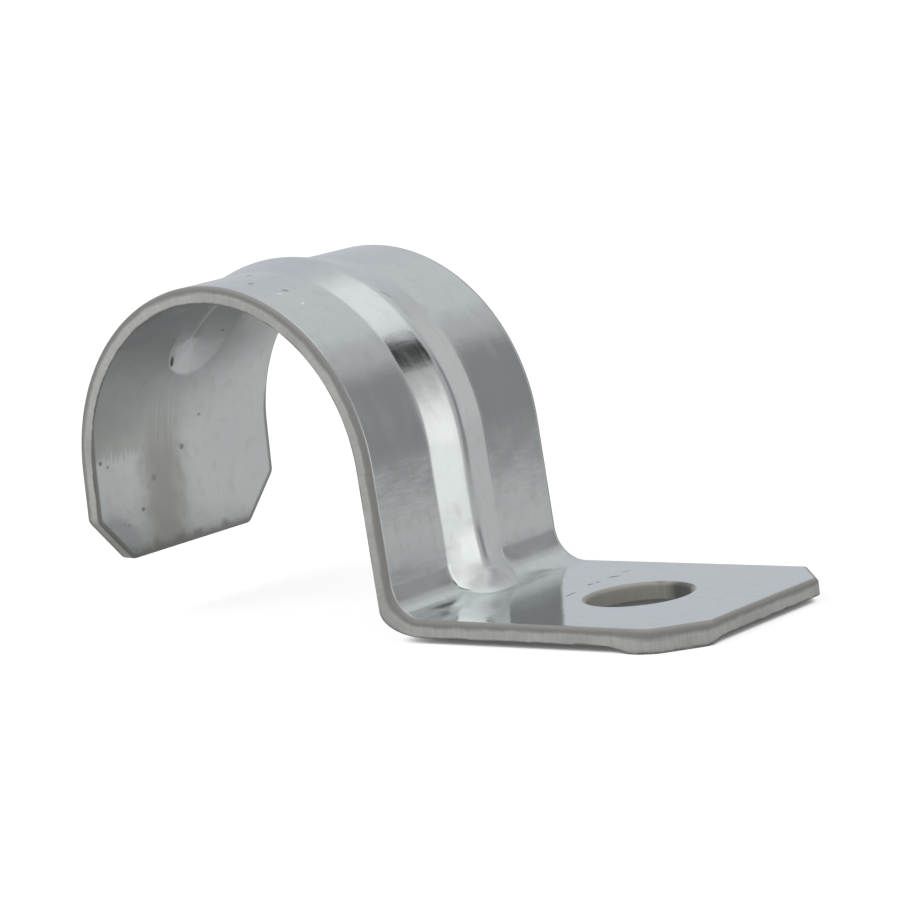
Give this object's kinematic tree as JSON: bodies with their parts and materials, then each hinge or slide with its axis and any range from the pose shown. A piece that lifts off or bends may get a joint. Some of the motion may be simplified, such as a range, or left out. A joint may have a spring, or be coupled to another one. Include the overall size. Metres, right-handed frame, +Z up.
{
  "type": "conduit strap",
  "caption": "One-hole strap of folded sheet steel with a stiffening rib, which holds a round conduit against a wall.",
  "frame": {"origin": "centre of the screw hole, on the underside of the foot", "axes": "+Z up out of the wall, along the screw hole; +Y along the conduit, across the strip; -X from the screw hole towards the saddle"},
  "size_m": [0.0518, 0.019, 0.0252],
  "materials": {
    "zinc_plated_steel": "bright zinc plating, semi-gloss"
  },
  "bodies": {
    "root": {"strap": "zinc_plated_steel"}
  },
  "joints": []
}
